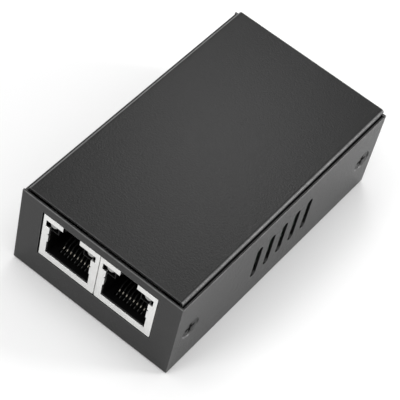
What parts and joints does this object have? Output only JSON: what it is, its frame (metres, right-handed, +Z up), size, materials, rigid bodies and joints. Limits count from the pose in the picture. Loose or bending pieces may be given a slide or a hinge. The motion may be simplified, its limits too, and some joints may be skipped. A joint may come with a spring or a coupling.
{
  "type": "power over ethernet injector",
  "caption": "Small sheet-metal box that adds power to a network line: shielded network sockets in front, barrel power inlet behind, slotted sides.",
  "frame": {"origin": "centre of the footprint, on the underside of the base tray", "axes": "+X to the right seen from the sockets, +Y from the sockets to the power inlet, +Z up"},
  "size_m": [0.045, 0.077, 0.026],
  "materials": {
    "case_coat": "fine-textured black powder coat",
    "screw_coat": "black zinc, satin",
    "tin_plate": "bright tin plate, satin",
    "socket_plastic": "moulded black plastic",
    "contact_plate": "bright plated spring wire",
    "lamp_lens": "diffusing clear resin",
    "board_resist": "green solder resist over glass laminate",
    "spacer_steel": "zinc plated",
    "film_sheet": "thin insulating film",
    "chip_mould": "black epoxy moulding",
    "lead_tin": "tinned lead",
    "can_aluminium": "drawn aluminium",
    "sleeve_plastic": "shrunk dark sleeve",
    "ferrite": "sintered ferrite",
    "copper_wire": "enamelled copper",
    "ceramic_chip": "fired ceramic",
    "resistor_glaze": "glazed chip"
  },
  "bodies": {
    "case": {"base_tray": "case_coat", "top_cover": "case_coat", "cover_screws": "screw_coat", "board_spacers": "spacer_steel", "board_screws": "spacer_steel", "circuit_board": "board_resist", "insulating_film": "film_sheet", "dc_inlet_housing": "socket_plastic", "dc_inlet_pin": "contact_plate", "dc_inlet_terminals": "lead_tin", "power_lamp": "lamp_lens", "power_lamp_leads": "lead_tin", "network_transformer": "chip_mould", "network_transformer_leads": "lead_tin", "controller_chip": "chip_mould", "controller_chip_leads": "lead_tin", "power_transistor": "chip_mould", "bridge_rectifier": "chip_mould", "surge_diode": "chip_mould", "resettable_fuse": "ceramic_chip", "capacitor_cans": "can_aluminium", "capacitor_sleeves": "sleeve_plastic", "inductor_core": "ferrite", "inductor_winding": "copper_wire", "chip_capacitors": "ceramic_chip", "chip_resistors": "resistor_glaze", "port_1_shield": "tin_plate", "port_1_insert": "socket_plastic", "port_1_soldered_pins": "lead_tin", "port_1_lamps": "lamp_lens", "port_2_shield": "tin_plate", "port_2_insert": "socket_plastic", "port_2_soldered_pins": "lead_tin", "port_2_lamps": "lamp_lens"},
    "port_1_springs": {"port_1_contact_springs": "contact_plate"},
    "port_2_springs": {"port_2_contact_springs": "contact_plate"},
    "inlet_leaf": {"dc_inlet_leaf": "contact_plate"}
  },
  "joints": [
    {"name": "port_1_springs_flex", "type": "hinge", "parent": "case", "child": "port_1_springs", "pos_m": [-0.0081, -0.0353, 0.0101], "axis": [-1, 0, 0], "range_deg": [0, 18], "stiffness_Nm_per_rad": 0.2},
    {"name": "port_2_springs_flex", "type": "hinge", "parent": "case", "child": "port_2_springs", "pos_m": [0.0081, -0.0353, 0.0101], "axis": [-1, 0, 0], "range_deg": [0, 18], "stiffness_Nm_per_rad": 0.2},
    {"name": "inlet_leaf_flex", "type": "hinge", "parent": "case", "child": "inlet_leaf", "pos_m": [-0.009, 0.0285, 0.0098], "axis": [-1, 0, 0], "range_deg": [0, 6], "stiffness_Nm_per_rad": 0.2}
  ]
}
